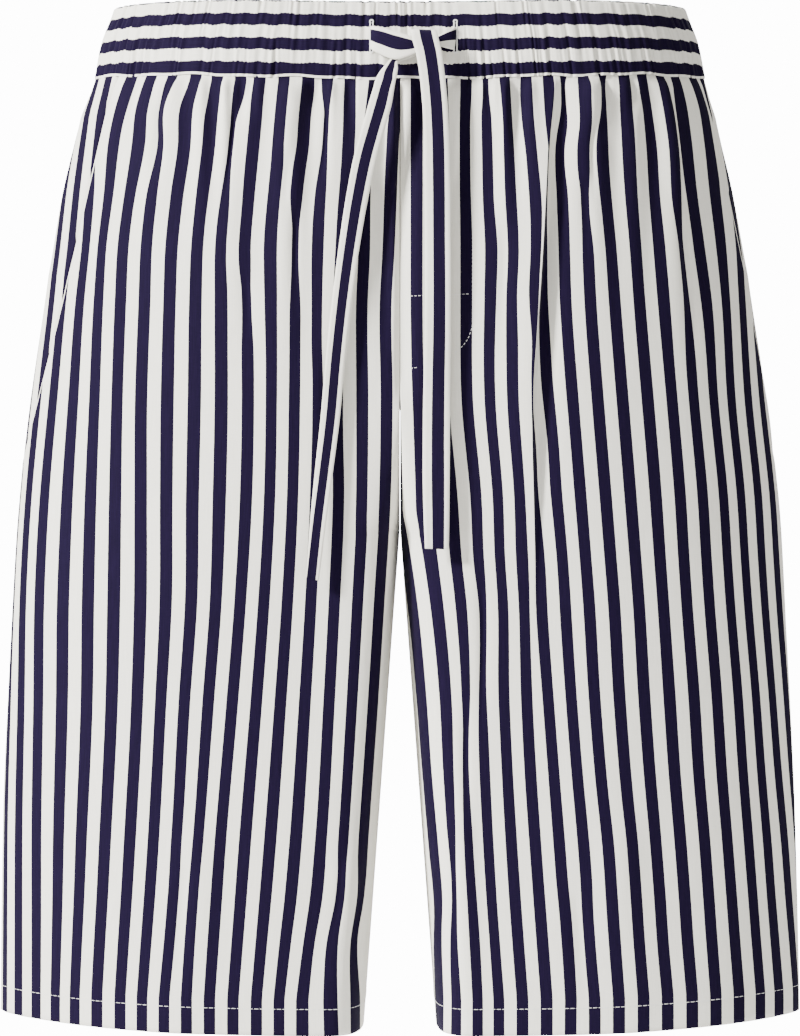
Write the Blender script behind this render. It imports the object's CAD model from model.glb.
# Striped bermuda shorts, filled out and hollow, with a gathered waistband and a flat drawstring.
# Lengths in the tables and functions below are millimetres, and MM turns them into metres.
# Right and left are the wearer's. The front faces -Y, and the origin is the middle of the waistband.
import math

import bpy
import numpy as np
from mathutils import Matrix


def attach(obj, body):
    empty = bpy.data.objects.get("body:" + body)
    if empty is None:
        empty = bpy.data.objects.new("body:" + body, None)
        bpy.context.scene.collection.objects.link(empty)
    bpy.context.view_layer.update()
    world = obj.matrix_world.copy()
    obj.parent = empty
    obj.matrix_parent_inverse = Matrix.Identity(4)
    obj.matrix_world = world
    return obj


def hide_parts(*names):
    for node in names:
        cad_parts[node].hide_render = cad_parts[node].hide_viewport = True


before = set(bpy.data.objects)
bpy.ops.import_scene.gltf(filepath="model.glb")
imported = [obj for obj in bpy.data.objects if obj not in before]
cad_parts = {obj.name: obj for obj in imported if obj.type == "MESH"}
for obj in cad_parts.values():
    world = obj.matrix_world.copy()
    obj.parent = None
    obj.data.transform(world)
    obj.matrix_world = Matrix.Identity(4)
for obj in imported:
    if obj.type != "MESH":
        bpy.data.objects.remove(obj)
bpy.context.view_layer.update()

MM = 0.001

# Camera and framing
VIEW_DISTANCE = 1600.0       # from the camera to the plane of the side seams
VIEW_LEVEL = -241.0          # height of the camera over the origin
PHOTO_HEIGHT_MM = 538.7      # what the whole picture's height spans in the plane of the side seams
SENSOR = 36.0

# Driving sizes of the cloth and its seams
PERIOD = 12.9                # one navy and one ivory stripe
CLOTH = 0.5
SEAM_HALF = 0.15
SEAM_TURN = 2.6              # how far the cloth turns in at a seam
SEAM_UNDER = 1.9             # how far the left front's turning lies behind the right front
BAND_BOTTOM = -19.0
BAND_TOP = 19.5
BAND_WALL = 2.4
FORK_LEVEL = -177.0
BACK_FORK_LEVEL = -188.0
CROTCH_LEVEL = -248.0
CROTCH_Y = 18.0
HEM_LEVEL = -501.5
HEM_DEPTH = 13.3
LEG_GAP_SLOPE = 0.0727
SIDE_LIFT_TOP = 4.4
SIDE_LIFT_SEAM = 7.0
BACK_LIFT_WAIST = 8.0
SIDE_LIFT_HEM = 5.1
POCKET_TOP = {"right": 50.0, "left": 46.0}
POCKET_BOW = 0.75
POCKET_FOOT = -216.0
POCKET_UNDER = 9.0
SMOOTH_EDGE = 18.0

# Sections of one half, from the waistband top to the hem: level, half width, depth of the front and of
# the back, where their flat stretches end, how far each side seam lies behind the widest point, and how
# much further out the right side hangs.
SECTION_KEYS = (
    "level", "half_width", "front", "back", "flat_front", "flat_back",
    "seam_right", "seam_left", "fuller_right",
)
SECTIONS = np.array([
    (19.5, 148.8, 50, 73, 46, 40, 25, 38, 0),
    (0, 154.6, 51.5, 75, 48, 42, 25, 38, 0),
    (-19, 158.6, 53, 77, 50, 44, 25, 38, 0),
    (-39, 164.6, 54, 83, 50, 46, 20, 34, 1.8),
    (-76, 173.4, 56, 93, 52, 50, 12, 27, 2.4),
    (-117, 181.5, 57.5, 101, 54, 54, 7, 21, 1.8),
    (-180, 191.1, 58.5, 106, 56, 58, 3, 12, 1.5),
    (-242, 198.1, 58, 101, 58, 60, 2, 6, 0.8),
    (-310, 202, 56.5, 92, 62, 66, 2, 4, 0.8),
    (-390, 205.6, 55, 86, 66, 72, 2, 3, 0.8),
    (-500, 207.8, 54, 83, 72, 78, 2, 2, 0),
])
ROUND = dict(front_run=2.3, front_edge=0.74, back_run=2.5, back_edge=0.52, inner_front=0.36, inner_back=0.72)

# Where the navy stripes of the fronts lie: for each level, the distance from the middle of each named
# stripe to centre front, both as seen from the front in the plane of the side seams. Stripe 0 is the
# one at centre front, and the numbers grow towards the side.
STRIPES = {
    "right": ((0, 2, 4, 6, 8, 10, 12, 13, 14), np.array([
        (-15.3, -0.5, 26.3, 48.1, 72.5, 94.4, 118.3, 139.1, 151.0, 161.0),
        (-34.0, 2.9, 27.0, 49.7, 74.6, 98.0, 123.5, 145.3, 157.2, 167.5),
        (-49.6, 3.9, 27.8, 50.7, 76.2, 99.6, 123.5, 148.5, 160.4, 170.5),
        (-75.6, 4.9, 29.9, 53.3, 78.8, 102.7, 128.7, 151.6, 161.2, 171.0),
        (-101.6, 6.0, 30.9, 54.3, 80.9, 105.3, 131.8, 155.2, 163.1, 172.5),
        (-127.6, 7.5, 32.0, 54.3, 79.8, 106.3, 132.9, 156.8, 166.2, 175.5),
        (-179.6, 7.0, 32.0, 54.9, 78.8, 106.9, 134.9, 158.9, 169.8, 180.7),
        (-231.6, 8.1, 32.0, 55.9, 79.8, 107.9, 134.9, 160.9, 173.1, 185.4),
        (-283.6, 11.2, 34.1, 58.5, 82.9, 108.4, 134.9, 162.0, 175.0, 188.0),
        (-335.6, 14.5, 36.7, 62.1, 87.1, 112.1, 136.5, 162.5, 175.5, 188.5),
        (-413.6, 19.9, 41.3, 67.9, 93.9, 116.5, 140.7, 165.9, 177.7, 189.5),
        (-439.6, 21.4, 43.8, 70.1, 95.6, 118.5, 142.2, 167.0, 178.2, 189.5),
        (-460.4, 24.7, 47.0, 71.9, 97.0, 120.1, 143.5, 168.0, 178.7, 189.5),
        (-491.6, 24.0, 51.2, 74.6, 99.1, 122.5, 145.3, 169.3, 179.4, 189.5),
    ])),
    "left": ((0, 1, 2, 3, 5, 8, 10, 12, 14, 15, 16), np.array([
        (-15.3, -3.8, 8.6, 21.6, 34.6, 54.3, 85.0, 105.3, 126.6, 142.7, 151.6, 160.0),
        (-34.0, -3.8, 8.6, 21.6, 34.6, 55.4, 85.5, 105.8, 129.2, 146.4, 158.1, 167.0),
        (-49.6, -3.8, 8.6, 21.6, 34.6, 56.4, 83.2, 105.3, 131.3, 148.5, 160.7, 170.0),
        (-75.6, -3.8, 8.6, 21.6, 34.6, 57.5, 84.5, 106.9, 132.9, 151.1, 163.8, 173.0),
        (-101.6, -3.8, 8.6, 21.6, 34.6, 59.5, 85.5, 109.5, 134.9, 155.2, 166.9, 176.5),
        (-127.6, -3.8, 8.6, 21.6, 34.6, 58.5, 86.1, 111.5, 137.0, 159.4, 169.3, 178.0),
        (-179.6, -2.8, 9.6, 22.4, 35.1, 58.5, 89.7, 115.7, 141.7, 163.5, 172.4, 181.2),
        (-231.6, -0.4, 12.7, 26.9, 39.8, 62.1, 93.9, 119.9, 145.9, 168.7, 177.5, 186.4),
        (-262.0, 4.0, 16.6, 29.2, 41.0, 63.0, 96.3, 122.3, 147.6, 170.5, 179.3, 188.1),
        (-283.6, 6.8, 19.4, 31.5, 42.9, 64.2, 98.0, 124.0, 149.0, 171.9, 180.7, 189.5),
        (-335.6, 11.8, 24.5, 34.5, 42.6, 65.8, 101.1, 127.1, 153.1, 176.0, 184.9, 193.7),
        (-372.0, 14.6, 25.9, 34.0, 43.9, 67.6, 104.0, 129.8, 155.4, 178.4, 187.5, 196.6),
        (-413.6, 18.2, 28.1, 35.8, 45.8, 70.5, 108.2, 133.4, 158.9, 181.7, 191.1, 200.5),
        (-439.6, 20.6, 28.7, 37.7, 47.3, 72.4, 110.0, 135.3, 160.7, 183.7, 193.0, 202.4),
        (-460.4, 20.5, 28.4, 39.2, 48.8, 73.9, 111.4, 136.5, 162.0, 185.2, 194.6, 204.0),
        (-491.6, 21.4, 29.8, 40.5, 51.2, 76.2, 113.6, 139.1, 164.1, 187.5, 196.9, 206.2),
    ])),
}
# How far from the centre front each side starts to sink to the seam between the fronts.
VALLEY = {"right": 2.2, "left": 6.5}
VALLEY_DEPTH = {"fork": 2.4, "hip": 2.2}     # above the fork, and how much deeper it gets above the hip
# The deep fold on the left front: level, distance of its edge from centre front as seen, and the
# stripe numbers on the near and far side of the edge. The stretch between them is folded under.
PLEAT_ROWS = np.array([
    (-17.4, 80.1, 7.25, 7.56),
    (-34.0, 78.5, 7.02, 7.40),
    (-49.6, 77.0, 6.75, 7.27),
    (-80.3, 75.1, 6.36, 7.14),
    (-101.6, 73.9, 6.30, 7.01),
    (-122.4, 72.5, 6.25, 6.89),
    (-148.4, 70.5, 5.90, 6.62),
    (-169.2, 69.0, 5.81, 6.43),
    (-203.6, 68.8, 5.66, 6.12),
    (-229.0, 69.4, 5.58, 6.07),
    (-246.7, 69.7, 5.50, 5.94),
    (-262.8, 69.9, 5.44, 5.83),
    (-294.0, 69.4, 5.37, 5.67),
    (-335.6, 71.5, 5.42, 5.58),
    (-413.6, 76.7, 5.46, 5.54),
    (-491.6, 82.4, 5.46, 5.54),
])
PLEAT = dict(start=-19.0, end=-300.0, depth=8.0, rise=15.0, fall=1.6, trough=8.0)

# Folds: distance from centre front or back at the two ends, the levels of the ends, the height of the
# crest over its trough, and its half width.
FOLDS = {
    "front_right": (
        (119, 128, -19, -150, 3.2, 9), (88, 86, -19, -190, 2.6, 9), (56, 62, -19, -230, 3.0, 10),
        (37, 40, -19, -150, 2.6, 8), (19, 15, -19, -190, 2.4, 6), (8, 7, -19, -200, -3.4, 7),
        (26, 30, -400, -499, 3.2, 10), (100, 112, -380, -499, 2.2, 16),
    ),
    "front_left": (
        (24, 22, -19, -200, 2.2, 8), (50, 54, -19, -160, 2.4, 9), (98, 101, -19, -170, 2.4, 9),
        (136, 146, -19, -160, 3.4, 8), (30, 32, -370, -499, 3.4, 9), (110, 118, -380, -499, 2.2, 16),
    ),
    "back_right": (
        (22, 30, -19, -150, 2.8, 9), (52, 60, -19, -120, 2.6, 9), (84, 92, -19, -170, 3.0, 10),
        (116, 128, -19, -130, 2.8, 9), (40, 62, -262, -470, 4.0, 16), (120, 128, -330, -499, 2.6, 18),
    ),
    "back_left": (
        (28, 34, -19, -130, 2.6, 9), (60, 68, -19, -160, 3.0, 10), (92, 98, -19, -120, 2.6, 9),
        (124, 136, -19, -160, 3.0, 9), (46, 70, -262, -450, 4.0, 16), (132, 136, -340, -499, 2.6, 18),
    ),
}
# Creases: the stripe number in the middle of each, the levels where it starts and ends, how much of the
# stripe's width it takes in, its half width in stripes, and its depth.
CREASES = {
    "front_right": (
        (10.15, -14, -88, 0.62, 0.42, 2.2), (7.0, -24, -96, 0.66, 0.34, 1.9),
        (3.0, -20, -82, 0.60, 0.34, 1.7), (4.0, -78, -142, 0.52, 0.34, 1.2),
        (6.0, -112, -162, 0.30, 0.34, 0.8), (4.5, -52, -100, 0.32, 0.34, 0.9),
        (6.5, -14, -44, 0.42, 0.34, 1.3), (3.5, -12, -40, 0.42, 0.30, 1.2),
        (8.6, -13, -36, 0.3, 0.34, 1.1), (11.5, -14, -52, 0.3, 0.34, 1.1),
        (1.4, -16, -120, 0.34, 0.5, 1.6), (2.5, -150, -236, 0.22, 0.5, 1.0),
        (0.0, -410, -490, 0.55, 0.30, 1.4), (1.0, -402, -462, 0.34, 0.36, 1.2),
        (7.5, -400, -496, 0.16, 0.5, 1.0),
    ),
    "front_left": (
        (8.0, -15, -50, 0.56, 0.34, 1.7), (4.0, -13, -42, 0.36, 0.34, 1.2),
        (10.0, -14, -58, 0.42, 0.34, 1.3), (13.5, -13, -104, 0.86, 0.27, 2.4),
        (13.15, -78, -170, 0.60, 0.34, 1.6), (9.5, -32, -92, 0.46, 0.32, 1.3),
        (9.0, -66, -112, 0.30, 0.34, 0.8), (5.3, -16, -64, 0.26, 0.34, 1.0),
        (11.5, -13, -40, 0.34, 0.32, 1.2), (2.6, -20, -110, 0.2, 0.5, 1.2),
        (4.6, -80, -170, 0.2, 0.4, 0.8), (0.0, -428, -490, 0.30, 0.34, 1.2),
        (1.0, -392, -488, 0.40, 0.34, 1.3), (3.0, -262, -356, 0.30, 0.34, 1.2),
        (2.0, -326, -402, 0.26, 0.34, 1.1), (6.6, -420, -498, 0.16, 0.5, 1.0),
    ),
    "back_right": (
        (4.0, -14, -70, 0.5, 0.4, 1.8), (8.4, -16, -96, 0.6, 0.4, 2.0), (12.0, -14, -60, 0.5, 0.34, 1.6),
        (15.3, -15, -110, 0.55, 0.4, 1.9), (18.2, -14, -66, 0.4, 0.4, 1.5),
        (10.2, -60, -140, 0.3, 0.4, 1.1),
    ),
    "back_left": (
        (3.2, -14, -84, 0.5, 0.4, 1.8), (6.7, -15, -58, 0.45, 0.34, 1.5),
        (10.6, -15, -104, 0.6, 0.4, 2.1), (14.1, -14, -70, 0.5, 0.36, 1.6),
        (17.2, -15, -90, 0.5, 0.4, 1.8), (12.3, -70, -150, 0.3, 0.4, 1.1),
    ),
}
CREASE_LIP = 0.35    # how high the cloth rises beside a crease, as a share of its depth
# Gathers at the waist seam, from the widest to the finest: pitch, height, reach below the seam.
GATHERS = ((31.0, 1.3, 120.0), (16.5, 1.2, 64.0), (6.8, 0.55, 26.0))

# Drawstring and the buttonholes that it comes out of
TIE_THICKNESS = 1.1
BUTTONHOLE = dict(right=-14.3, left=27.9, low=-6.6, high=8.6)


def smooth(t):
    c = np.clip(t, 0.0, 1.0)
    return c * c * (3.0 - 2.0 * c)


def cubic(x, xs, ys):
    """Smooth curve through the points (xs, ys), with xs falling or rising, at x. ys may hold columns."""
    xs = np.asarray(xs, float)
    ys = np.asarray(ys, float)
    if xs[0] > xs[-1]:
        xs, ys = xs[::-1], ys[::-1]
    x = float(np.clip(x, xs[0], xs[-1]))
    i = int(np.clip(np.searchsorted(xs, x) - 1, 0, len(xs) - 2))
    slopes = np.gradient(ys, xs, axis=0)
    h = xs[i + 1] - xs[i]
    t = (x - xs[i]) / h
    t2, t3 = t * t, t * t * t
    return ((2 * t3 - 3 * t2 + 1) * ys[i] + (t3 - 2 * t2 + t) * h * slopes[i]
            + (3 * t2 - 2 * t3) * ys[i + 1] + (t3 - t2) * h * slopes[i + 1])


def lengths_along(path):
    return np.concatenate([[0], np.cumsum(np.linalg.norm(np.diff(path, axis=0), axis=1))])


def size_at(level):
    """The section's named sizes at a level, on the same curve as the solids."""
    last = len(SECTIONS) - 1
    i = 0
    while i < last - 1 and level < SECTIONS[i + 1][0]:
        i += 1
    a, b, c, d = (SECTIONS[min(last, max(0, k))] for k in (i - 1, i, i + 1, i + 2))
    t = (b[0] - level) / (b[0] - c[0])
    row = b + 0.5 * t * (c - a + t * (2 * a - 5 * b + 4 * c - d + t * (3 * (b - c) + d - a)))
    return dict(zip(SECTION_KEYS, row))


def crotch_y(level, start, fork):
    if level >= fork:
        return start
    if level <= CROTCH_LEVEL:
        return CROTCH_Y
    t = (fork - level) / (fork - CROTCH_LEVEL)
    return CROTCH_Y + (start - CROTCH_Y) * math.sqrt(max(0.0, 1.0 - t * t))


class Section:
    """Half a level section, from centre front round the side to centre back, and points along it."""

    def __init__(self, level, side=None):
        s = size_at(level)
        self.level = level
        self.wide = s["half_width"] + (s["fuller_right"] if side == "right" else 0.0)
        self.front = s["front"]
        self.inner = SEAM_HALF + max(0.0, CROTCH_LEVEL - level) * LEG_GAP_SLOPE
        front_seam = crotch_y(level, -s["front"], FORK_LEVEL)
        back_seam = crotch_y(level, s["back"], BACK_FORK_LEVEL)
        quarter = np.linspace(0, math.pi / 2, 81)
        cos_in, sin_in = np.cos(quarter).clip(0), np.sin(quarter)
        e = ROUND["inner_front"]
        x1 = s["flat_front"] - (s["flat_front"] - self.inner) * cos_in ** e
        y1 = front_seam - (front_seam + s["front"]) * sin_in ** e
        u = np.sin(np.linspace(0, math.pi / 2, 161))
        x2 = s["flat_front"] + (self.wide - s["flat_front"]) * u
        y2 = -s["front"] * (1 - u ** ROUND["front_run"]).clip(0) ** ROUND["front_edge"]
        x3 = s["flat_back"] + (self.wide - s["flat_back"]) * u[::-1]
        y3 = s["back"] * (1 - u[::-1] ** ROUND["back_run"]).clip(0) ** ROUND["back_edge"]
        e = ROUND["inner_back"]
        x4 = s["flat_back"] - (s["flat_back"] - self.inner) * cos_in[::-1] ** e
        y4 = back_seam + (s["back"] - back_seam) * sin_in[::-1] ** e
        self.x = np.concatenate([x1[:-1], x2[:-1], x3[:-1], x4])
        self.y = np.concatenate([y1[:-1], y2[:-1], y3[:-1], y4])
        self.arc = np.concatenate([[0], np.cumsum(np.hypot(np.diff(self.x), np.diff(self.y)))])
        self.arc += np.arange(len(self.arc)) * 1e-9
        self.side = self.arc[len(x1) - 1 + len(x2) - 1]
        self.length = self.arc[-1]
        self.seam = {"right": self.side + s["seam_right"], "left": self.side + s["seam_left"]}

    def at(self, d):
        """x, y and the outward direction at distances along the section."""
        x = np.interp(d, self.arc, self.x)
        y = np.interp(d, self.arc, self.y)
        step = 1.2
        ax, bx = np.interp(d - step, self.arc, self.x), np.interp(d + step, self.arc, self.x)
        ay, by = np.interp(d - step, self.arc, self.y), np.interp(d + step, self.arc, self.y)
        size = np.hypot(bx - ax, by - ay).clip(1e-6)
        return x, y, (by - ay) / size, -(bx - ax) / size

    def lift(self, x, y):
        out = (x / self.wide) ** 2
        top = smooth((self.level - FORK_LEVEL) / (BAND_BOTTOM - FORK_LEVEL))
        foot = smooth((-420 - self.level) / 80)
        up = min(1.0, max(0.0, (self.level - BAND_BOTTOM) / (BAND_TOP - BAND_BOTTOM)))
        at_side = SIDE_LIFT_SEAM + (SIDE_LIFT_TOP - SIDE_LIFT_SEAM) * up
        behind = BACK_LIFT_WAIST + (at_side - BACK_LIFT_WAIST) * out
        return top * np.where(y < 0, at_side * out, behind) + foot * SIDE_LIFT_HEM * out

    def seen(self):
        """Distance from the centre of each point of the section, as seen from the front."""
        return self.x * VIEW_DISTANCE / (VIEW_DISTANCE + self.y)

    def distance_seen(self, x_seen):
        """How far along the section the front has that seen distance from the centre."""
        last = int(np.searchsorted(self.arc, self.side)) + 1
        return np.interp(x_seen, np.maximum.accumulate(self.seen()[:last]), self.arc[:last])


def seen_level(level, y):
    return (level - VIEW_LEVEL) * VIEW_DISTANCE / (VIEW_DISTANCE + y) + VIEW_LEVEL


def pocket_edge(level, side):
    return POCKET_TOP[side] * max(0.0, (level - POCKET_FOOT) / (BAND_BOTTOM - POCKET_FOOT)) ** POCKET_BOW


def fold_height(name, level, x):
    height = np.zeros_like(x)
    for top, foot, start, end, depth, width in FOLDS[name]:
        t = (start - level) / (start - end)
        u = (x - top - (foot - top) * t) / width
        if -0.001 < t < 1:
            grow = 1.0 if start == BAND_BOTTOM else float(smooth(4 * t))
            height += depth * grow * (1 - smooth(t)) * (1 - 1.1 * u * u) * np.exp(-u * u) * 0.7
        if end <= -499 and level <= start:
            height += depth * smooth(1.4 * t) * smooth(t) * np.exp(-u * u) * 0.5
    return height


def gather_height(level, x, phase):
    """Uneven gathers that run down from the waist seam and die out at different depths."""
    height = np.zeros_like(x)
    for n, (pitch, tall, reach) in enumerate(GATHERS):
        drift = 0.30 * np.sin(x / 23.0 + phase + n) + 0.17 * np.sin(x / 8.7 + 2.1 * phase + n)
        own_reach = reach * (0.85 + 0.45 * np.sin(x / (1.3 * pitch) + 1.7 * phase + 2 * n))
        fade = (1 - (BAND_BOTTOM - level) / own_reach).clip(0, 1)
        height += tall * fade * np.cos(2 * math.pi * (x / pitch + drift))
    return height


def slack_height(level, x, phase):
    """The slow unevenness of hanging cloth."""
    a = np.sin(x / 19.0 + level / 83.0 + phase) * np.sin(level / 61.0 - x / 47.0 + 2 * phase)
    b = np.sin(x / 9.5 - level / 140.0 + 3 * phase) * np.sin(level / 97.0 + x / 31.0 + phase)
    return 0.42 * a + 0.22 * b


def crease_fade(level, start, end):
    t = (start - level) / (start - end)
    return float(smooth(3.2 * t) * smooth(1.9 * (1 - t))) if 0 < t < 1 else 0.0


def crease_height(name, level, stripe):
    height = np.zeros_like(stripe)
    for middle, start, end, _, spread, depth in CREASES[name]:
        t = (stripe - middle) / spread
        lip = CREASE_LIP * np.exp(-(t + 1.9) ** 2 / 2.2)
        height += depth * crease_fade(level, start, end) * (lip - np.exp(-t * t * 1.3))
    return height


def pleat_height(level, x, section):
    t = (PLEAT["start"] - level) / (PLEAT["start"] - PLEAT["end"])
    if not -0.001 < t < 1:
        return np.zeros_like(x)
    edge = cubic(seen_level(level, -section.front), PLEAT_ROWS[:, 0], PLEAT_ROWS[:, 1])
    edge *= (VIEW_DISTANCE - section.front) / VIEW_DISTANCE
    u = x - edge
    fade = float(smooth(0.25 + 3 * t) * (1 - smooth((t - 0.45) / 0.55)))
    crest = np.where(u <= 0, np.exp(-(u / PLEAT["rise"]) ** 2), np.exp(-(u / PLEAT["fall"]) ** 2))
    trough = np.where(u <= 0, 0, smooth(u / 2.2) * np.exp(-((u - 2.2).clip(0) / PLEAT["trough"]) ** 2))
    return PLEAT["depth"] * fade * (0.5 * crest - 0.42 * trough)


def waist_tuck(level):
    """The cloth runs in under the waistband's lower edge."""
    return float(smooth((BAND_BOTTOM - level) / 7.0))


class Row:
    """One level of a panel: where its stripes lie and how its surface stands."""

    EDGE = False    # whether the outer edge is a pocket's turned edge, which shows as a thin pale line

    def fit(self, name, plain, first, last):
        """Lays the stripes first to last at plain's distances, drawn together at the creases."""
        self.numbers = np.linspace(first, last, 900)
        self.distances = plain(self.numbers)
        for middle, start, end, squeeze, spread, _ in CREASES.get(name, ()):
            t = (self.numbers - middle) / spread
            amount = squeeze * crease_fade(self.level, start, end) * spread * PERIOD
            self.distances = self.distances - amount * t * np.exp(-t * t / 2)
        self.distances = np.maximum.accumulate(self.distances)

    def stripe(self, d):
        return np.interp(d, self.distances, self.numbers)

    def distance(self, stripe):
        return np.interp(stripe, self.numbers, self.distances)

    def points(self, d, out=0.0):
        return place(self.section, d, self.height(d) + out)


class FrontRow(Row):
    EDGE = True
    KEPT = {"right": (1.0, 12.0), "left": (2.0, 14.0)}    # stripes that keep their columns on every level

    def __init__(self, side, level):
        self.side, self.level = side, level
        self.section = sec = Section(level, side)
        self.start = SEAM_HALF if level <= CROTCH_LEVEL else 0.0
        self.end = sec.seam[side] - pocket_edge(level, side) - SEAM_HALF
        numbers, table = STRIPES[side]
        numbers = list(numbers)
        seen = seen_level(level, -0.95 * sec.front)
        edge_seen = sec.inner + 0.4
        for _ in range(2):
            levels = np.broadcast_to(seen, len(numbers))
            found = np.array([cubic(z, table[:, 0], table[:, i + 1]) for i, z in enumerate(levels)])
            past = found - edge_seen + sec.distance_seen(edge_seen)
            distance = np.where(found < edge_seen, past, sec.distance_seen(found))
            seen = seen_level(level, np.interp(distance, sec.arc, sec.y))
        knots = list(zip(numbers, distance))
        if side == "left":
            row = cubic(seen_level(level, -sec.front), PLEAT_ROWS[:, 0], PLEAT_ROWS[:, 1:])
            edge = float(sec.distance_seen(row[0]))
            knots += [(row[1], edge - 0.25), (row[2], edge + 0.55)]
            knots.sort(key=lambda knot: knot[1])
        first, last = knots[0], knots[-1]
        seen_first = float(np.interp(first[1], sec.arc, sec.seen()))
        if first[1] > 0 and seen_first > edge_seen + 0.3:
            places = np.linspace(edge_seen, seen_first, 6)[:-1]
            corner = zip(first[0] - (seen_first - places) / PERIOD, sec.distance_seen(places))
            knots = [(k, float(d)) for k, d in corner] + knots
        if knots[0][1] > 0:
            knots.insert(0, (knots[0][0] - knots[0][1] / PERIOD, 0.0))
        knots.append((last[0] + (sec.length - last[1]) / PERIOD, sec.length))
        numbers = np.array([k for k, _ in knots])
        distances = np.maximum.accumulate([d for _, d in knots])
        self.fit("front_" + side, lambda k: np.interp(k, numbers, distances), numbers[0], numbers[-1])

    def height(self, d):
        x, _, _, ny = self.section.at(d)
        edge = smooth((x - self.section.inner) / 8) * smooth((self.end - d - SMOOTH_EDGE) / SMOOTH_EDGE)
        phase = 0.4 if self.side == "right" else 2.3
        h = fold_height("front_" + self.side, self.level, x) + gather_height(self.level, x, phase)
        h += slack_height(self.level, x, phase)
        if self.side == "left":
            h += pleat_height(self.level, x, self.section)
        h = h * edge + crease_height("front_" + self.side, self.level, self.stripe(d))
        deep = VALLEY_DEPTH["fork"] * smooth((self.level - FORK_LEVEL + 12) / 20)
        deep = deep + VALLEY_DEPTH["hip"] * smooth((self.level + 140) / 100)
        h -= deep * np.exp(-((x / VALLEY[self.side]) ** 2))
        return h * (-ny).clip(0) * waist_tuck(self.level) - 0.7 * (1 - waist_tuck(self.level))


class BackRow(Row):
    """One level of a back. Its stripes are counted from the side seam."""

    SEAT_STRIPES = 19.6      # from the side seam to centre back
    KEPT = {"right": (1.0, 18.0), "left": (1.0, 18.0)}

    def __init__(self, side, level):
        self.side, self.level = side, level
        self.section = sec = Section(level, side)
        self.start = sec.seam[side] + SEAM_HALF
        self.end = sec.length - (SEAM_HALF if level <= CROTCH_LEVEL else 0.0)
        seat = Section(BACK_FORK_LEVEL + 22 * math.log1p(math.exp((level - BACK_FORK_LEVEL) / 22)), side)
        reach = seat.length - seat.seam[side]
        pitch = min(PERIOD, reach / self.SEAT_STRIPES)
        last = (sec.length - self.start) / pitch
        self.fit("back_" + side, lambda k: (k - 0.15) * pitch + self.start, 0.15 - 6, last + 6)

    def height(self, d):
        x, _, _, ny = self.section.at(d)
        edge = smooth((x - self.section.inner) / 8) * smooth((d - self.start) / SMOOTH_EDGE)
        phase = 4.1 if self.side == "right" else 5.6
        h = fold_height("back_" + self.side, self.level, x) + gather_height(self.level, x, phase)
        h += slack_height(self.level, x, phase)
        h += crease_height("back_" + self.side, self.level, self.stripe(d))
        return h * edge * ny.clip(0) * waist_tuck(self.level) - 0.7 * (1 - waist_tuck(self.level))


class PocketRow(Row):
    """One level of a pocket's side piece, which lies under the front's edge and runs to the side seam."""

    KEPT = {"right": None, "left": None}
    SHIFT = {"right": 0.22, "left": 0.35}    # of its stripes from the side seam, in stripes
    SUNK = 1.65      # how much deeper it lies under the front's edge

    def __init__(self, side, level):
        self.side, self.level = side, level
        self.section = sec = Section(level, side)
        self.end = sec.seam[side] - SEAM_HALF
        self.start = self.end - pocket_edge(level, side) - POCKET_UNDER
        self.fit("pocket", lambda k: (k - self.SHIFT[side]) * PERIOD + sec.seam[side], -8, 3)

    def height(self, d):
        open_at = self.end - pocket_edge(self.level, self.side)
        return -CLOTH - self.SUNK * (1 - smooth((d - open_at - 0.5) / 1.6))


def place(section, d, out):
    """Points in millimetres on the section at distance d, moved out by out."""
    x, y, nx, ny = section.at(d)
    z = section.level + section.lift(x, y)
    px = np.maximum(SEAM_HALF, x + nx * out)
    return np.stack([px, y + ny * out, z], axis=-1)


def mesh_piece(name, points, uv, faces, material, smooth_shading=True):
    """A mesh in metres from points in millimetres, with the stripe coordinates as its UV map."""
    mesh = bpy.data.meshes.new(name)
    mesh.from_pydata((np.asarray(points) * MM).tolist(), [], [tuple(f) for f in faces])
    mesh.update()
    layer = mesh.uv_layers.new(name="stripes")
    index = np.empty(len(mesh.loops), dtype=np.int32)
    mesh.loops.foreach_get("vertex_index", index)
    layer.data.foreach_set("uv", np.asarray(uv, dtype=np.float32)[index].ravel())
    if smooth_shading:
        mesh.polygons.foreach_set("use_smooth", [True] * len(mesh.polygons))
    piece = bpy.data.objects.new(name, mesh)
    bpy.context.scene.collection.objects.link(piece)
    mesh.materials.append(material)
    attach(piece, "root")
    return piece


def declare_cloth(name):
    """The piece takes the place of its CAD node, and states the cloth that it was cut from."""
    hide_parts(name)


def grid_faces(rows, columns, flip=False, wrap=False):
    j, i = np.meshgrid(np.arange(rows - 1), np.arange(columns - (0 if wrap else 1)), indexing="ij")
    a = j * columns + i
    b = j * columns + (i + 1) % columns
    quads = np.stack([a, a + columns, b + columns, b], axis=-1).reshape(-1, 4)
    return quads[:, ::-1] if flip else quads


def thicken(piece, thickness):
    shell = piece.modifiers.new("cloth", "SOLIDIFY")
    shell.thickness = thickness * MM
    shell.offset = -1.0
    shell.use_even_offset = False


def panel_levels():
    top = np.array([-19.3, -20.5, -22, -24, -26.5])
    upper = np.linspace(-29, -120, 34)
    middle = np.linspace(-123.5, -262, 46)
    lower = np.linspace(-266, -480, 48)
    return np.concatenate([top, upper, middle, lower, [-484, -487.8, -488.6, -492, -496, -499, HEM_LEVEL]])


# The turned-up hem: how far below the hem level it lies, how far in, and how far along the cloth.
HEM_TURN = ((0.35, 0.55, 0.6), (0.0, 1.15, 1.4), (-3.0, 1.25, 4.4), (-HEM_DEPTH, 1.25, 15.9))
PALE_STRIPE = 14.5    # a number in the middle of an ivory stripe, for a pocket's turned edge
DARK_STRIPE = -2.0    # one in the middle of a navy stripe, for the dark slit beside it


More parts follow.
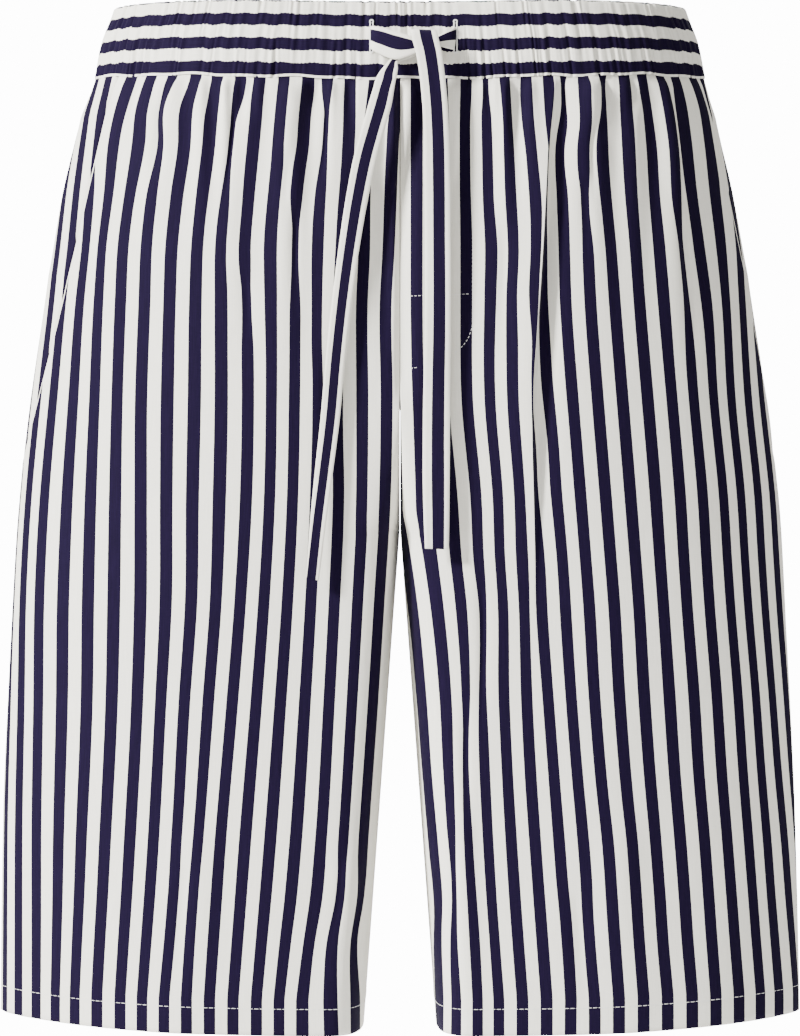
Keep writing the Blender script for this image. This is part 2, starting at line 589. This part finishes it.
def column_distances(row, columns):
    """Columns from a panel's one edge to its other. Those in the middle follow their stripes."""
    first, last = row.stripe(np.array([row.start, row.end]))
    kept = row.KEPT[row.side]
    if kept is None:
        open_at = row.end - pocket_edge(row.level, row.side)
        shadow = open_at + np.array([0, 0.5, 0.98, 1.0]) * min(1.1, (row.end - open_at) / 3)
        rest = np.linspace(shadow[-1], row.end, columns[1] - 10)[1:]
        return np.concatenate([np.linspace(row.start, open_at, 7)[:-1], shadow, rest])
    runs = [np.linspace(first, kept[0], columns[0], endpoint=False), np.linspace(*kept, columns[1])]
    runs.append(np.linspace(kept[1], last, columns[2] + 1)[1:])
    d = row.distance(np.concatenate(runs))
    d[0], d[-1] = row.start, row.end
    if row.EDGE:
        turned = row.end - np.array([0.9, 0.66, 0.64, 0.3])
        d[-5:-1] = np.maximum(turned, d[-6] + np.array([0.01, 0.02, 0.03, 0.04]))
    return d


def panel(name, side, row_type, columns, material, hem=True):
    """A front or back as one sheet, with its seam turnings and its turned-up hem."""
    levels = panel_levels()
    if row_type is PocketRow:
        levels = levels[levels >= POCKET_FOOT]
    points, uv = [], []
    insets = [(float(z), 0.0, 0.0) for z in levels]
    if hem:
        for drop, inset, back in HEM_TURN:
            insets.append((HEM_LEVEL - drop, inset, back))
    for level, inset, back in insets:
        row = row_type(side, max(level, HEM_LEVEL))
        d = column_distances(row, columns)
        grid = row.points(d, -inset)
        grid[:, 2] += min(0.0, level - HEM_LEVEL)
        turn_a = row.points(d[:1], -inset - SEAM_TURN)
        turn_b = row.points(d[-1:], -inset - SEAM_TURN)
        flap = row.points(d[:1], -inset - SEAM_TURN - 1.0)
        if row_type is FrontRow and side == "left":
            flap[:, 0] -= SEAM_UNDER * smooth((level - CROTCH_LEVEL) / 8)
        line = np.concatenate([flap, turn_a, grid, turn_b])
        k = row.stripe(d)
        if row.EDGE and level > POCKET_FOOT + 6:
            k[-3:] = PALE_STRIPE
        if row_type is PocketRow:
            k[:9] = DARK_STRIPE
        k = np.concatenate([[k[0] - 0.3, k[0] - 0.2], k, [k[-1] + 0.2]])
        points.append(line)
        v = (level + back * (1 if back > 1.4 else 0)) / PERIOD
        uv.append(np.stack([k, np.full(len(k), v)], axis=-1))
    points, uv = np.array(points), np.array(uv)
    if side == "right":
        points[..., 0] *= -1
    count = points.shape[1]
    faces = grid_faces(len(points), count, flip=side == "right")
    piece = mesh_piece(name, points.reshape(-1, 3), uv.reshape(-1, 2), faces, material)
    thicken(piece, CLOTH)
    return piece


# Materials

def feed(tree, socket, value):
    """Gives a socket a value, or joins it to the socket that the value comes from."""
    if isinstance(value, bpy.types.NodeSocket):
        tree.links.new(value, socket)
    else:
        socket.default_value = value


def node(tree, kind, **values):
    made = tree.nodes.new(kind)
    for key, value in values.items():
        if hasattr(made, key):
            setattr(made, key, value)
        else:
            feed(tree, made.inputs[key], value)
    return made


def maths(tree, operation, *values):
    made = node(tree, "ShaderNodeMath", operation=operation)
    for n, value in enumerate(values):
        feed(tree, made.inputs[n], value)
    return made.outputs[0]


def mixed(tree, share, one, other):
    """The colour between two others, each given as a colour or a socket."""
    made = node(tree, "ShaderNodeMix", data_type="RGBA")
    for n, value in ((0, share), (6, one), (7, other)):
        feed(tree, made.inputs[n], value)
    return made.outputs[2]


def noise(tree, vector, scale, detail, **values):
    return node(tree, "ShaderNodeTexNoise", Vector=vector, Scale=scale, Detail=detail, **values).outputs[0]


def stretched(tree, vector, scale):
    return node(tree, "ShaderNodeMapping", Vector=vector, Scale=scale).outputs[0]


def spread_out(tree, value, low, high, **values):
    made = node(tree, "ShaderNodeMapRange", **values, **{"From Min": low, "From Max": high})
    feed(tree, made.inputs["Value"], value)
    return made.outputs[0]


def relief(tree, shader, height, strength, distance):
    bump = node(tree, "ShaderNodeBump", Height=height, Strength=strength, Distance=distance)
    feed(tree, shader.inputs["Normal"], bump.outputs[0])


def new_material(name, **values):
    """A material, its tree, and its shader with the named inputs set."""
    material = bpy.data.materials.new(name)
    material.use_nodes = True
    tree = material.node_tree
    shader = tree.nodes["Principled BSDF"]
    for key, value in values.items():
        shader.inputs[key].default_value = value
    return material, tree, shader


NAVY = (0.0070, 0.0030, 0.0195, 1)
NAVY_DARK = (0.0042, 0.0018, 0.0122, 1)
IVORY = (0.880, 0.855, 0.765, 1)
IVORY_SHADE = (0.800, 0.772, 0.680, 1)


def striped_cloth(name):
    """Poplin with equal navy and ivory stripes. Stripe numbers come from the UV map."""
    material, tree, shader = new_material(
        name, **{"Roughness": 0.78, "Specular IOR Level": 0.06},
        **{"Sheen Weight": 0.02, "Sheen Roughness": 0.45},
    )
    uv = node(tree, "ShaderNodeUVMap", uv_map="stripes").outputs[0]
    split = node(tree, "ShaderNodeSeparateXYZ")
    feed(tree, split.inputs[0], uv)
    across, lengthwise = split.outputs[0], split.outputs[1]

    # Distance from the middle of the nearest navy stripe, with edges a thread or two uneven
    wander = maths(tree, "MULTIPLY", maths(tree, "SUBTRACT", noise(tree, uv, 9.0, 1.0), 0.5), 0.012)
    place_on = maths(tree, "ADD", maths(tree, "ADD", across, wander), 0.5)
    off_middle = maths(tree, "ABSOLUTE", maths(tree, "SUBTRACT", maths(tree, "FRACT", place_on), 0.5))
    ivory = spread_out(tree, off_middle, 0.243, 0.257, interpolation_type="SMOOTHSTEP")

    # Slubs run with the stripes, and threads cross them
    slub = noise(tree, stretched(tree, uv, (26.0, 0.9, 1.0)), 1.0, 4.0, Roughness=0.6)
    weft = noise(tree, stretched(tree, uv, (3.0, 40.0, 1.0)), 1.0, 3.0, Roughness=0.6)
    tone = maths(tree, "ADD", maths(tree, "MULTIPLY", slub, 0.65), maths(tree, "MULTIPLY", weft, 0.35))
    light = spread_out(tree, tone, 0.36, 0.64)
    navy, pale = mixed(tree, light, NAVY_DARK, NAVY), mixed(tree, light, IVORY_SHADE, IVORY)
    feed(tree, shader.inputs["Base Color"], mixed(tree, ivory, navy, pale))

    # Plain weave of fine threads, and the slubs, as relief
    threads_a = maths(tree, "SINE", maths(tree, "MULTIPLY", across, 2 * math.pi * 42))
    threads_b = maths(tree, "SINE", maths(tree, "MULTIPLY", lengthwise, 2 * math.pi * 36))
    weave = maths(tree, "MULTIPLY", threads_a, threads_b)
    relief(tree, shader, maths(tree, "ADD", maths(tree, "MULTIPLY", weave, 0.35), tone), 0.35, 0.00018)
    return material


def thread_material():
    material, tree, shader = new_material("ivory_thread", **{"Roughness": 0.6, "Sheen Weight": 0.2})
    twist = noise(tree, node(tree, "ShaderNodeTexCoord").outputs["Object"], 1400.0, 2.0)
    share = spread_out(tree, twist, 0.0, 1.0)
    colour = mixed(tree, share, (0.70, 0.69, 0.66, 1), (0.90, 0.89, 0.86, 1))
    feed(tree, shader.inputs["Base Color"], colour)
    relief(tree, shader, twist, 0.5, 0.0001)
    return material


def shadow_cloth():
    """The lining that shows dark in the slits of the buttonholes."""
    material, tree, shader = new_material("slit_lining", **{"Roughness": 0.95, "Specular IOR Level": 0.0})
    fibre = noise(tree, node(tree, "ShaderNodeTexCoord").outputs["Object"], 1800.0, 2.0)
    colour = mixed(tree, fibre, (0.004, 0.003, 0.007, 1), (0.020, 0.017, 0.026, 1))
    feed(tree, shader.inputs["Base Color"], colour)
    return material


def make_camera():
    data = bpy.data.cameras.new("camera")
    camera = bpy.data.objects.new("camera", data)
    bpy.context.scene.collection.objects.link(camera)
    camera.location = (0.0, -VIEW_DISTANCE * MM, VIEW_LEVEL * MM)
    camera.rotation_euler = (math.pi / 2, 0, 0)
    data.sensor_width = SENSOR
    data.lens = SENSOR * VIEW_DISTANCE / PHOTO_HEIGHT_MM
    data.clip_start = 0.01
    bpy.context.scene.camera = camera


# Drawstring

# Each row is a place along the strip: its one edge and its other edge as seen from the front (distance
# from centre, level), how far in front of the side plane it lies, and the stripe numbers at the edges.
DRAWSTRING_FROM_RIGHT = (
    (-14.9, 14.7, -15.1, 3.2, -51.6, -0.40, 0.62), (-13.9, 14.8, -14.3, 2.6, -53.8, -0.40, 0.62),
    (-11.8, 14.5, -12.8, 1.4, -55.2, -0.40, 0.62), (-7.8, 13.6, -9.6, -0.2, -56.3, -0.40, 0.62),
    (-2.9, 12.1, -5.2, -2, -57.4, -0.40, 0.62), (1.7, 10.8, -1.6, -2.6, -58.1, -0.40, 0.62),
    (5.6, 9.6, 2.2, -1.6, -58.4, -0.42, 0.62), (7.2, 9, 7.4, 0.2, -58.5, -0.46, 0.60),
    (7.6, 9.5, 12.7, 2.9, -58.6, -0.50, 0.58), (6.9, 10.7, 17.4, 6.6, -58.9, -0.56, 0.52),
    (5.9, 12, 19.1, 10.9, -59.6, -0.60, 0.48), (5.4, 12.7, 18.9, 12.2, -60.9, -0.60, 0.48),
    (5.6, 12, 19.3, 11.4, -62.2, -0.60, 0.48), (6.3, 8.3, 20.3, 7.5, -62.9, -0.60, 0.48),
    (7.5, 4, 21.3, 3.5, -63, -0.60, 0.48), (9.4, -5.4, 22.7, -5.6, -62.9, -0.60, 0.48),
    (10.4, -13, 23.6, -13, -63, -0.60, 0.48), (11.6, -25.7, 24.8, -25.7, -63.2, -0.60, 0.48),
    (12.4, -43, 25.7, -43, -63.4, -0.60, 0.48), (12.7, -65, 26.2, -65, -63.6, -0.60, 0.48),
    (12.9, -94, 26.3, -94, -63.8, -0.60, 0.48), (13, -120, 26.5, -120, -64, -0.60, 0.48),
    (12.8, -146, 26.5, -146, -64, -0.60, 0.48), (12.2, -172, 26.2, -172, -64, -0.60, 0.48),
    (11.9, -198, 26, -198, -64, -0.60, 0.48), (11.9, -224, 25.8, -224, -64, -0.60, 0.46),
    (12.4, -243, 25.6, -243, -64, -0.60, 0.46), (13, -256.9, 25.4, -257.4, -64, -0.58, 0.46),
)
DRAWSTRING_FROM_LEFT = (
    (28.9, 14.3, 28.6, 2.5, -51.6, -0.36, 0.72), (27.8, 13.8, 27.5, 2.7, -53.9, -0.36, 0.72),
    (25.6, 12.9, 25.6, 3.1, -55, -0.36, 0.72), (22.6, 11.3, 23.2, 3.6, -55.5, -0.36, 0.72),
    (19.4, 9.7, 20.9, 4.2, -55.7, -0.36, 0.70), (12.4, 7.1, 14, 1.6, -55.7, -0.40, 0.66),
    (4.3, 4.2, 6.9, -1.3, -55.7, -0.44, 0.60), (-0.9, 1.6, 2.7, -2.8, -55.8, -0.46, 0.56),
    (-3.7, -0.7, 0.2, -3.6, -56.2, -0.46, 0.52), (-5.3, -2.6, -1.4, -4.3, -57.3, -0.46, 0.50),
    (-7.6, -5.2, -1.1, -6.9, -59, -0.48, 0.52), (-10.2, -8.4, -1.5, -10.1, -60.4, -0.52, 0.50),
    (-12.3, -11.9, -2.1, -12.7, -61.4, -0.60, 0.42), (-13.9, -17.3, -2.9, -17.3, -62.2, -0.58, 0.46),
    (-16.4, -25.7, -4.3, -25.7, -62.7, -0.56, 0.48), (-20, -39, -8, -39, -63, -0.54, 0.50),
    (-23.7, -52, -11.6, -52, -63.2, -0.54, 0.50), (-28.2, -75, -16.6, -75, -63.4, -0.54, 0.50),
    (-31.9, -100, -21, -100, -63.6, -0.54, 0.50), (-35.3, -127, -24.9, -127, -63.7, -0.54, 0.50),
    (-38.6, -158, -28.4, -158, -63.8, -0.54, 0.50), (-41.4, -190, -31.4, -190, -63.8, -0.54, 0.50),
    (-44.4, -218, -35, -218, -63.8, -0.50, 0.50), (-46.9, -245, -38.6, -245, -63.8, -0.40, 0.48),
    (-48.7, -271.8, -42.2, -273.6, -63.8, -0.27, 0.42),
)


def unseen(places, y):
    """Real x, y, z of places given as seen from the front, at the depths y."""
    scale = (VIEW_DISTANCE + y) / VIEW_DISTANCE
    return np.stack([places[:, 0] * scale, y, (places[:, 1] - VIEW_LEVEL) * scale + VIEW_LEVEL], axis=-1)


def strip(name, route, material, samples=260):
    """A flat strip between the two edges of its route, and its middle line."""
    route = np.array(route, float)
    one, other = unseen(route[:, 0:2], route[:, 4]), unseen(route[:, 2:4], route[:, 4])
    rows = np.concatenate([one, other, route[:, 5:7]], axis=1)
    middle = (one + other) / 2
    knots = lengths_along(middle)
    fine = np.array([cubic(t, knots, rows) for t in np.linspace(0, knots[-1], samples)])
    one, other, stripes = fine[:, 0:3], fine[:, 3:6], fine[:, 6:8]
    middle = (one + other) / 2
    travelled = lengths_along(middle)
    tangent = np.gradient(middle, axis=0)
    width = other - one
    normal = np.cross(tangent, width)
    normal /= np.linalg.norm(normal, axis=1, keepdims=True)
    share = np.array([0, 0.02, 0.14, 0.5, 0.86, 0.98, 1, 1, 0.98, 0.86, 0.5, 0.14, 0.02, 0])
    depth = np.array([0.4, 1, 1, 1, 1, 1, 0.4, -0.4, -1, -1, -1, -1, -1, -0.4]) * TIE_THICKNESS / 2
    ripple = 0.3 * np.sin(travelled[:, None] / 17 + 5 * share[None, :]) * (2 * share[None, :] - 1)
    points = one[:, None] + width[:, None] * share[None, :, None]
    points = points + normal[:, None] * (depth[None, :] + ripple)[..., None]
    numbers = stripes[:, :1] + (stripes[:, 1:] - stripes[:, :1]) * share[None, :]
    uv = np.stack(np.broadcast_arrays(numbers, (travelled / PERIOD)[:, None]), axis=-1).reshape(-1, 2)
    count = len(share)
    faces = [tuple(f) for f in grid_faces(samples, count, flip=True, wrap=True)]
    faces.append(tuple(reversed(range(count))))
    faces.append(tuple(range((samples - 1) * count, samples * count)))
    piece = mesh_piece(name, points.reshape(-1, 3), uv, faces, material)
    return piece, middle * MM, travelled[-1] * MM


def make_drawstring(material):
    ends = (
        ("drawstring_end_right", DRAWSTRING_FROM_RIGHT, "drawstring_right"),
        ("drawstring_end_left", DRAWSTRING_FROM_LEFT, "drawstring_left"),
    )
    for name, route, solid in ends:
        piece, middle, length = strip(name, route, material)
        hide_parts(solid)


# Waistband

def scatter(n, seed):
    """An uneven but repeatable number from 0 to 1 for each n."""
    return np.mod(np.sin(n * 12.9898 + seed * 78.233) * 43758.5453, 1.0)


BAND_CREASES = 210
BAND_COLUMNS = 1500


def band_height(turn, up, wavelength):
    """Gathers of the waistband: soft waves, and narrow creases of uneven depth, slant and length."""
    wander = 0.55 * np.sin(2 * math.pi * 7 * turn) + 0.4 * np.sin(2 * math.pi * 19 * turn + 1)
    soft = 0.24 * np.cos(2 * math.pi * 92 * turn + 1.6 * wander)
    soft = soft + 0.14 * np.cos(2 * math.pi * 151 * turn - wander)
    height = soft * (0.35 + 0.65 * math.sin(math.pi * up))
    n = np.arange(BAND_CREASES)
    middle = (n + 0.75 * (scatter(n, 1) - 0.5)) / BAND_CREASES + (scatter(n, 2) - 0.5) * 0.0035 * (up - 0.5)
    width = (0.55 + 0.75 * scatter(n, 3)) / wavelength
    reach = 0.25 + 0.75 * scatter(n, 4)
    from_below = scatter(n, 5) > 0.42
    fade = np.where(from_below, 1.15 - up / reach, 1.15 - (1 - up) / reach).clip(0, 1)
    depth = (0.25 + 1.0 * scatter(n, 6) ** 1.6) * fade
    for m, w, d in zip(middle, width, depth):
        if d > 0.01:
            off = (turn - m + 0.5) % 1.0 - 0.5
            near = np.abs(off) < 4 * w
            t = off[near] / w
            shape = 0.45 * np.exp(-((t - 1.5) ** 2)) - np.exp(-t * t) + 0.3 * np.exp(-((t + 1.6) ** 2))
            height[near] += d * shape
    return height


def make_waistband(material):
    """The gathered ring: its outer face, rolled top edge and inner face."""
    turn = np.arange(BAND_COLUMNS) / BAND_COLUMNS
    on_left = turn < 0.5
    part = np.where(on_left, 2 * turn, 2 - 2 * turn)
    outer_height = BAND_TOP - 1.3 - BAND_BOTTOM
    profile = [(-20.2, 0.0)]
    profile += [(BAND_BOTTOM + 0.1 + outer_height * t, 0.0) for t in np.linspace(0, 1, 17)]
    profile += [(BAND_TOP - 0.45, 0.3), (BAND_TOP - 0.05, 0.75), (BAND_TOP, 1.2), (BAND_TOP - 0.1, 1.65)]
    profile += [(BAND_TOP - 0.5, BAND_WALL - 0.3)]
    inner_height = BAND_TOP - BAND_BOTTOM - 2.5
    profile += [(BAND_TOP - 1.3 - inner_height * t, BAND_WALL) for t in np.linspace(0, 1, 8)]
    rows, uv = [], []
    travelled, before = 0.0, profile[0]
    for level, inset in profile:
        section = Section(min(max(level, BAND_BOTTOM), BAND_TOP))
        x, y, nx, ny = section.at(section.length * part)
        up = min(1.0, max(0.0, (level - BAND_BOTTOM) / (BAND_TOP - BAND_BOTTOM)))
        height = band_height(turn, up, 2 * section.length)
        bulge = 0.8 * math.sin(math.pi * up) ** 0.8
        inside = inset > 1.0
        out = height * (0.5 if inside else 1.0) + bulge * (-0.3 if inside else 1.0) - inset
        sag = 0.35 * np.sin(2 * math.pi * 13 * turn + 0.7) + 0.25 * np.sin(2 * math.pi * 29 * turn + 2)
        top_edge = 0.45 * height if level > BAND_TOP - 2 else 0.0
        seam_edge = 1.1 * sag * smooth((BAND_BOTTOM + 5 - level) / 5)
        z = level + section.lift(x, y) + top_edge + seam_edge
        px = x - section.inner + nx * out
        rows.append(np.stack([np.where(on_left, px, -px), y + ny * out, z], axis=-1))
        travelled += math.hypot(level - before[0], inset - before[1])
        before = (level, inset)
        saw = 0.017 * np.sin(2 * math.pi * 430 * turn + 3 * np.sin(2 * math.pi * 41 * turn))
        scallop = 0.022 * np.sin(2 * math.pi * 57 * turn + 2 * np.sin(2 * math.pi * 9 * turn)) + saw
        scallop = (scallop + 0.05 * height) * smooth((level - BAND_BOTTOM - 0.5) / 3)
        uv.append(np.stack([(travelled - 1.2) / 12.58 - 0.25 + scallop, part * 30], axis=-1))
    points, uv = np.array(rows), np.array(uv)
    faces = grid_faces(len(points), BAND_COLUMNS, flip=True, wrap=True)
    points, uv = points.reshape(-1, 3), uv.reshape(-1, 2)
    piece = mesh_piece("waistband_gathered", points, uv, faces, material)
    declare_cloth("waistband")


# Stitches

def stitch_line(path, normals, length, gap, radius, out):
    """Vertices and faces of the stitches along a path of points in millimetres."""
    steps = lengths_along(path)
    count = int(steps[-1] // (length + gap))
    points, faces = [], []
    sides = 6
    angle = np.linspace(0, 2 * math.pi, sides, endpoint=False)
    for n in range(count):
        a = n * (length + gap)
        stations = a + length * np.array([0.0, 0.12, 0.5, 0.88, 1.0])
        centre = np.stack([np.interp(stations, steps, path[:, i]) for i in range(3)], axis=-1)
        normal = np.array([np.interp(a, steps, normals[:, i]) for i in range(3)])
        along_it = centre[-1] - centre[0]
        along_it /= np.linalg.norm(along_it)
        normal /= np.linalg.norm(normal)
        side = np.cross(along_it, normal)
        sink = np.array([-1.1, -0.1, 0.25, -0.1, -1.1]) * radius + out
        swell = np.array([0.55, 0.95, 1.0, 0.95, 0.55]) * radius
        first = len(points)
        for c, s, w in zip(centre, sink, swell):
            for a2 in angle:
                points.append(c + normal * (s + w * math.sin(a2) * 0.75) + side * w * math.cos(a2))
        for r in range(4):
            near, far = first + r * sides, first + (r + 1) * sides
            for s in range(sides):
                t = (s + 1) % sides
                faces.append((near + s, near + t, far + t, far + s))
        faces.append(tuple(first + s for s in reversed(range(sides))))
        faces.append(tuple(first + 4 * sides + s for s in range(sides)))
    return points, faces


def join_stitches(name, lines, material, length=2.3, gap=0.55, radius=0.13, out=0.08):
    points, faces = [], []
    for path, normals in lines:
        p, f = stitch_line(path, normals, length, gap, radius, out)
        faces += [tuple(i + len(points) for i in face) for face in f]
        points += p
    return mesh_piece(name, np.array(points), np.zeros((len(points), 2)), faces, material)


def on_side(side, points, normals):
    if side == "right":
        points[:, 0] *= -1
        normals[:, 0] *= -1
    return points, normals


def hem_line(side, row_type):
    row = row_type(side, HEM_LEVEL + HEM_DEPTH)
    d = np.linspace(row.start + 1, row.end - 1, 160)
    points = row.points(d)
    _, _, nx, ny = row.section.at(d)
    normals = np.stack([nx, ny, np.zeros_like(nx)], axis=-1)
    return on_side(side, points, normals)


def front_line(side, places):
    """A path on a front through places given as seen: distance from centre front, and level."""
    places = np.array(places, float)
    steps = lengths_along(places)
    points, normals = [], []
    for s in np.arange(0, steps[-1], 2.0):
        x_seen, z_seen = np.interp(s, steps, places[:, 0]), np.interp(s, steps, places[:, 1])
        level = (z_seen - VIEW_LEVEL) * (VIEW_DISTANCE - 57) / VIEW_DISTANCE + VIEW_LEVEL
        row = FrontRow(side, level)
        d = np.array([float(row.section.distance_seen(x_seen))])
        points.append(row.points(d)[0])
        _, _, nx, ny = row.section.at(d)
        normals.append([nx[0], ny[0], 0])
    points, normals = np.array(points), np.array(normals)
    return on_side(side, points, normals)


FLY_EDGE = (
    (37.7, -18.5), (37.7, -140.5), (37.2, -143.0), (35.6, -147.5),
    (33.0, -151.2), (30.0, -154.0), (26.8, -156.6),
)
FLY_BAR = ((5.5, -125.6), (37.7, -124.5))
FLY_TACK = ((5.5, -163.2), (12.8, -162.2))


def make_stitches(material):
    hems = [hem_line(side, row_type) for side in ("right", "left") for row_type in (FrontRow, BackRow)]
    join_stitches("hem_stitches", hems, material)
    fly = [front_line("left", places) for places in (FLY_EDGE, FLY_BAR, FLY_TACK)]
    join_stitches("fly_stitches", fly, material, length=1.3, gap=0.7, radius=0.15)


def make_buttonholes(material, dark):
    """Two upright keyhole buttonholes: a dark slit and eye, with close stitches round them."""
    low, high = BUTTONHOLE["low"], BUTTONHOLE["high"]
    eye, half = 0.85, 0.72
    points, faces, gaps, gap_faces = [], [], [], []
    sides, count = 8, 120
    for x0 in (BUTTONHOLE["right"], BUTTONHOLE["left"]):
        outline = [(x0 - half, low), (x0 - half, high - 0.9)]
        round_eye = np.linspace(0.7, 2 * math.pi - 0.7, 15)
        outline += [(x0 - eye * math.sin(a), high + 0.2 - eye * math.cos(a)) for a in round_eye]
        outline += [(x0 + half, high - 0.9), (x0 + half, low), (x0, low - 0.5)]
        line = np.array(outline + [outline[0]])
        steps = lengths_along(line)
        t = np.linspace(0, steps[-1], count, endpoint=False)
        px, pz = np.interp(t, steps, line[:, 0]), np.interp(t, steps, line[:, 1])
        first, level = len(points), np.clip(pz, BAND_BOTTOM, BAND_TOP)
        y = np.array([-Section(z).front - 1.0 for z in level])
        for i in range(count):
            j = (i + 1) % count
            dx, dz = px[j] - px[i - 1], pz[j] - pz[i - 1]
            size = math.hypot(dx, dz) or 1.0
            radius = 0.36 * (1 + 0.16 * math.cos(math.pi * i))
            for a in np.linspace(0, 2 * math.pi, sides, endpoint=False):
                across, up = math.cos(a) * radius, math.sin(a) * radius
                points.append((px[i] - dz / size * across, y[i] - up, pz[i] + dx / size * across))
        for i in range(count):
            for n in range(sides):
                a, b, m = first + i * sides, first + ((i + 1) % count) * sides, (n + 1) % sides
                faces.append((a + n, b + n, b + m, a + m))
        first = len(gaps)
        gaps += [(px[i], y[i] + 0.05, pz[i]) for i in range(count)]
        gap_faces.append(tuple(first + i for i in range(count)))
    for name, places, own_faces, own_material in (
        ("buttonhole_stitches", points, faces, material), ("buttonhole_slits", gaps, gap_faces, dark),
    ):
        plain_uv = np.zeros((len(places), 2))
        mesh_piece(name, np.array(places), plain_uv, own_faces, own_material)


def make_stage():
    """A plain pale floor, far enough below to take no hard shadow."""
    level, half = -0.80, 1.6
    mesh = bpy.data.meshes.new("floor")
    turns = np.linspace(0, 2 * math.pi, 96, endpoint=False)
    corners = [(half * math.cos(a), half * math.sin(a), level) for a in turns]
    mesh.from_pydata(corners, [], [tuple(range(96))])
    floor = bpy.data.objects.new("floor", mesh)
    bpy.context.scene.collection.objects.link(floor)
    paper, _, _ = new_material("pale_paper", **{"Base Color": (0.93, 0.93, 0.93, 1), "Roughness": 0.9})
    mesh.materials.append(paper)


def area_light(name, place_at, towards, size, watts):
    data = bpy.data.lights.new(name, "AREA")
    data.energy = watts
    data.size = size
    light = bpy.data.objects.new(name, data)
    light.location = place_at
    direction = np.array(towards, float) - np.array(place_at, float)
    flat = math.hypot(direction[0], direction[1])
    turn = math.atan2(direction[1], direction[0]) - math.pi / 2
    light.rotation_euler = (math.atan2(flat, -direction[2]), 0, turn)
    bpy.context.scene.collection.objects.link(light)


def make_lights():
    middle = (0, 0, -0.24)
    area_light("key", (-2.4, -1.5, 1.3), middle, 0.5, 370)
    area_light("fill", (1.6, -2.4, 0.1), middle, 2.0, 24)
    area_light("top", (-0.2, 0.3, 1.8), middle, 1.2, 30)
    area_light("behind", (0.6, 1.9, 0.9), middle, 1.4, 70)
    world = bpy.data.worlds.new("studio")
    world.use_nodes = True
    tree = world.node_tree
    background = tree.nodes["Background"]
    background.inputs["Color"].default_value = (1, 1, 1, 1)
    ray = node(tree, "ShaderNodeLightPath")
    bright = node(tree, "ShaderNodeMapRange")
    bright.inputs["To Min"].default_value = 0.36
    bright.inputs["To Max"].default_value = 14.0
    tree.links.new(ray.outputs["Is Camera Ray"], bright.inputs["Value"])
    tree.links.new(bright.outputs[0], background.inputs["Strength"])
    bpy.context.scene.world = world


def main():
    make_camera()
    tie_cloth = striped_cloth("drawstring_poplin")
    make_drawstring(tie_cloth)
    body_cloth = striped_cloth("body_poplin")
    band_cloth = striped_cloth("waistband_poplin")
    thread = thread_material()
    for side in ("right", "left"):
        front = panel("front_" + side + "_cloth", side, FrontRow, (36, 150, 40), body_cloth)
        declare_cloth("front_" + side)
        back = panel("back_" + side + "_cloth", side, BackRow, (10, 160, 44), body_cloth)
        declare_cloth("back_" + side)
        pocket = panel("pocket_side_" + side + "_cloth", side, PocketRow, (0, 40, 0), body_cloth, hem=False)
        declare_cloth("pocket_side_" + side)
    make_waistband(band_cloth)
    make_buttonholes(thread, shadow_cloth())
    make_stitches(thread)
    make_stage()
    make_lights()


main()
